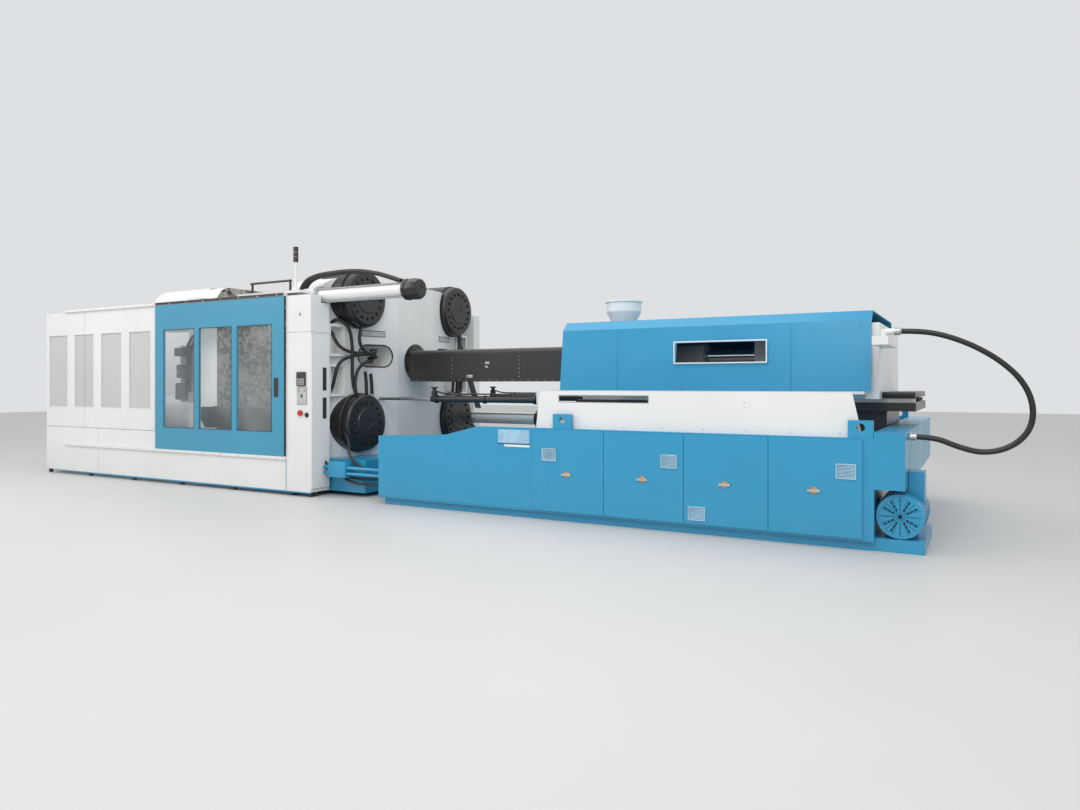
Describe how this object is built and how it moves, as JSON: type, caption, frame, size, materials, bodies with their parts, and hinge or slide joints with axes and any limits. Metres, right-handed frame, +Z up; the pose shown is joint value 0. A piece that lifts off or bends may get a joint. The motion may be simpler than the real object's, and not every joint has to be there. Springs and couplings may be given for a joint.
{
  "type": "injection moulding machine",
  "caption": "Large two-platen injection moulding machine with a guarded clamp, sliding doors, an injection unit on a cabinet base and a hose loop.",
  "frame": {"origin": "on the floor under the middle of the machine", "axes": "+X from the clamp to the injection end, +Y away from the operator, +Z up"},
  "size_m": [15.2738, 4.33, 3.587],
  "materials": {
    "white_paint": "smooth white machine paint",
    "machine_blue": "satin blue machine paint",
    "door_blue": "satin blue paint on the sliding doors",
    "ground_steel": "ground and oiled steel",
    "chromed_bar": "hard chrome",
    "black_paint": "semi-gloss black paint",
    "dark_grey_paint": "dark grey satin paint",
    "grey_paint": "light grey machine paint",
    "window_pane": "clear polycarbonate",
    "bronze": "bronze slide pads",
    "heater_steel": "heat-tinted stainless sheet",
    "hose_rubber": "smooth black hose cover",
    "stop_red": "red push knob",
    "knob_black": "black knob",
    "button_green": "green push button",
    "latch_metal": "zinc-plated latch"
  },
  "bodies": {
    "machine_frame": {"clamp_bed": "machine_blue", "ways_and_carriage_rods": "ground_steel", "levelling_feet": "black_paint", "stationary_platen": "white_paint", "cylinder_covers": "black_paint", "traverse_tubes": "white_paint", "clamp_guards": "white_paint", "guard_windows": "window_pane", "door_rails": "white_paint", "top_cover": "white_paint", "handrail_and_lamps": "black_paint", "parts_chute": "black_paint", "door_columns": "white_paint", "operator_panel": "dark_grey_paint", "injection_base": "machine_blue", "pump_and_oil_tank": "grey_paint", "pump_motor": "machine_blue", "side_screens": "white_paint", "slideway_beam": "black_paint"},
    "tie_bars": {"tie_bars": "chromed_bar"},
    "moving_platen": {"moving_platen": "white_paint", "platen_shoes": "bronze", "traverse_rods": "chromed_bar", "ejector_cylinder": "grey_paint", "tie_bar_hoods": "white_paint"},
    "ejector_plate": {"ejector_plate": "ground_steel"},
    "lock_nuts_near": {"lock_nuts_near": "ground_steel"},
    "lock_nuts_far": {"lock_nuts_far": "ground_steel"},
    "front_door": {"front_door": "door_blue", "front_door_windows": "window_pane"},
    "rear_door": {"rear_door": "door_blue", "rear_door_windows": "window_pane"},
    "column_door": {"column_door": "white_paint"},
    "emergency_stop": {"emergency_stop": "stop_red"},
    "mode_selector": {"mode_selector": "knob_black"},
    "cycle_button": {"cycle_button": "button_green"},
    "motor_fan": {"motor_fan": "knob_black"},
    "carriage": {"carriage_frame": "white_paint", "feed_housing": "grey_paint", "barrel": "heater_steel", "heater_bands": "heater_steel", "barrel_shroud": "dark_grey_paint", "unit_cover": "machine_blue", "hopper": "white_paint", "injection_cylinders": "grey_paint", "carriage_cylinders": "black_paint", "hose_elbows": "white_paint", "loop_hose_outer": "hose_rubber", "loop_hose_inner": "hose_rubber"},
    "crosshead": {"crosshead": "grey_paint", "injection_rods": "chromed_bar"},
    "plasticising_screw": {"plasticising_screw": "ground_steel"},
    "base_door_1": {"base_door_1": "machine_blue"},
    "door_latch_1": {"door_latch_1": "latch_metal"},
    "base_door_2": {"base_door_2": "machine_blue"},
    "door_latch_2": {"door_latch_2": "latch_metal"},
    "base_door_3": {"base_door_3": "machine_blue"},
    "door_latch_3": {"door_latch_3": "latch_metal"},
    "base_door_4": {"base_door_4": "machine_blue"},
    "door_latch_4": {"door_latch_4": "latch_metal"}
  },
  "joints": [
    {"name": "front_door_slide", "type": "slide", "parent": "machine_frame", "child": "front_door", "axis": [-1, 0, 0], "range_m": [0, 2.58]},
    {"name": "rear_door_slide", "type": "slide", "parent": "machine_frame", "child": "rear_door", "axis": [-1, 0, 0], "range_m": [0, 2.58]},
    {"name": "platen_slide", "type": "slide", "parent": "machine_frame", "child": "moving_platen", "axis": [1, 0, 0], "range_m": [-0.9, 0.8]},
    {"name": "clamp_stroke", "type": "slide", "parent": "machine_frame", "child": "tie_bars", "axis": [1, 0, 0], "range_m": [0, 0.05]},
    {"name": "lock_nut_near_close", "type": "slide", "parent": "moving_platen", "child": "lock_nuts_near", "axis": [0, 1, 0], "range_m": [0, 0.0595]},
    {"name": "lock_nut_far_close", "type": "slide", "parent": "moving_platen", "child": "lock_nuts_far", "axis": [0, -1, 0], "range_m": [0, 0.0595]},
    {"name": "ejector_stroke", "type": "slide", "parent": "moving_platen", "child": "ejector_plate", "axis": [1, 0, 0], "range_m": [0, 0.25]},
    {"name": "column_door_hinge", "type": "hinge", "parent": "machine_frame", "child": "column_door", "pos_m": [-0.56, -2.12, 1.22], "axis": [0, 0, -1], "range_deg": [0, 105]},
    {"name": "emergency_stop_push", "type": "slide", "parent": "machine_frame", "child": "emergency_stop", "axis": [0, 1, 0], "range_m": [0, 0.005], "stiffness_N_per_m": 1500},
    {"name": "mode_selector_turn", "type": "hinge", "parent": "machine_frame", "child": "mode_selector", "pos_m": [-0.655, -2.142, 1.162], "axis": [0, 1, 0], "range_deg": [-45, 45]},
    {"name": "cycle_button_push", "type": "slide", "parent": "machine_frame", "child": "cycle_button", "axis": [0, 1, 0], "range_m": [0, 0.003], "stiffness_N_per_m": 800},
    {"name": "motor_fan_turn", "type": "hinge", "parent": "machine_frame", "child": "motor_fan", "pos_m": [6.975, -1.95, 0.339], "axis": [0, 1, 0], "continuous": true},
    {"name": "carriage_slide", "type": "slide", "parent": "machine_frame", "child": "carriage", "axis": [1, 0, 0], "range_m": [-0.12, 0.4], "deforming": ["loop_hose_outer", "loop_hose_inner"]},
    {"name": "injection_stroke", "type": "slide", "parent": "carriage", "child": "crosshead", "axis": [-1, 0, 0], "range_m": [0, 0.6]},
    {"name": "screw_turn", "type": "hinge", "parent": "crosshead", "child": "plasticising_screw", "pos_m": [5.4, 0, 1.95], "axis": [1, 0, 0], "continuous": true},
    {"name": "base_door_1_hinge", "type": "hinge", "parent": "machine_frame", "child": "base_door_1", "pos_m": [3.009, -2.13, 0.6], "axis": [0, 0, -1], "range_deg": [0, 110]},
    {"name": "door_latch_1_turn", "type": "hinge", "parent": "base_door_1", "child": "door_latch_1", "pos_m": [3.473, -2.13, 0.554], "axis": [0, 1, 0], "range_deg": [0, 90]},
    {"name": "base_door_2_hinge", "type": "hinge", "parent": "machine_frame", "child": "base_door_2", "pos_m": [3.943, -2.13, 0.6], "axis": [0, 0, -1], "range_deg": [0, 110]},
    {"name": "door_latch_2_turn", "type": "hinge", "parent": "base_door_2", "child": "door_latch_2", "pos_m": [4.4085, -2.13, 0.554], "axis": [0, 1, 0], "range_deg": [0, 90]},
    {"name": "base_door_3_hinge", "type": "hinge", "parent": "machine_frame", "child": "base_door_3", "pos_m": [4.88, -2.13, 0.6], "axis": [0, 0, -1], "range_deg": [0, 110]},
    {"name": "door_latch_3_turn", "type": "hinge", "parent": "base_door_3", "child": "door_latch_3", "pos_m": [5.322, -2.13, 0.554], "axis": [0, 1, 0], "range_deg": [0, 90]},
    {"name": "base_door_4_hinge", "type": "hinge", "parent": "machine_frame", "child": "base_door_4", "pos_m": [5.77, -2.13, 0.6], "axis": [0, 0, -1], "range_deg": [0, 110]},
    {"name": "door_latch_4_turn", "type": "hinge", "parent": "base_door_4", "child": "door_latch_4", "pos_m": [6.2115, -2.13, 0.554], "axis": [0, 1, 0], "range_deg": [0, 90]}
  ],
  "couplings": [
    {"joint": "lock_nut_far_close", "follows": "lock_nut_near_close", "ratio": 1}
  ]
}
